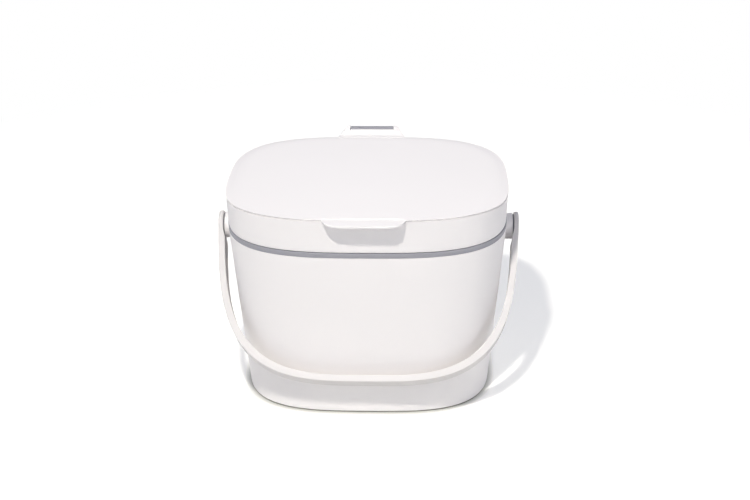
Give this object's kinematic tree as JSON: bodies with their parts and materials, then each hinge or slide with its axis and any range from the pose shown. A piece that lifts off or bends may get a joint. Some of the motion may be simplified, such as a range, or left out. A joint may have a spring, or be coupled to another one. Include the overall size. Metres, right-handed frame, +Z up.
{
  "type": "compost caddy",
  "caption": "Tapered oval kitchen compost caddy with a rear-hinged deep lid, front finger lip, grey rim band and swing-over flat handle.",
  "frame": {"origin": "centre of the underside, on the surface that the caddy stands on", "axes": "+Z up, the finger lip faces -Y, the lid hinge is at +Y, +X to the right seen from the front"},
  "size_m": [0.2114, 0.1831, 0.1527],
  "materials": {
    "white_shell": "satin-gloss warm white moulded plastic",
    "white_liner": "satin warm white moulded plastic",
    "white_handle": "satin warm white moulded plastic",
    "grey_trim": "matt mid-grey moulded plastic",
    "grey_rubber": "matt grey soft seal material",
    "screw_steel": "plain stainless steel",
    "pin_steel": "ground stainless steel"
  },
  "bodies": {
    "bucket": {"bucket": "white_shell", "rim_ring": "grey_trim", "base_pad": "grey_rubber", "hinge_bracket": "grey_trim", "hinge_screw_left": "screw_steel", "hinge_screw_right": "screw_steel", "pivot_bush_left": "grey_trim", "pivot_bush_right": "grey_trim"},
    "lid": {"lid_shell": "white_shell", "lid_liner": "white_liner", "lid_seal": "grey_rubber", "hinge_pin": "pin_steel"},
    "handle": {"handle": "white_handle", "pivot_pin_left": "grey_trim", "pivot_pin_right": "grey_trim", "pivot_washer_left": "grey_rubber", "pivot_washer_right": "grey_rubber"}
  },
  "joints": [
    {"name": "lid_hinge", "type": "hinge", "parent": "bucket", "child": "lid", "pos_m": [0, 0.08955, 0.1483], "axis": [-1, 0, 0], "range_deg": [0, 105]},
    {"name": "handle_swing", "type": "hinge", "parent": "bucket", "child": "handle", "pos_m": [0, 0, 0.1096], "axis": [-1, 0, 0], "range_deg": [0, 265]}
  ]
}
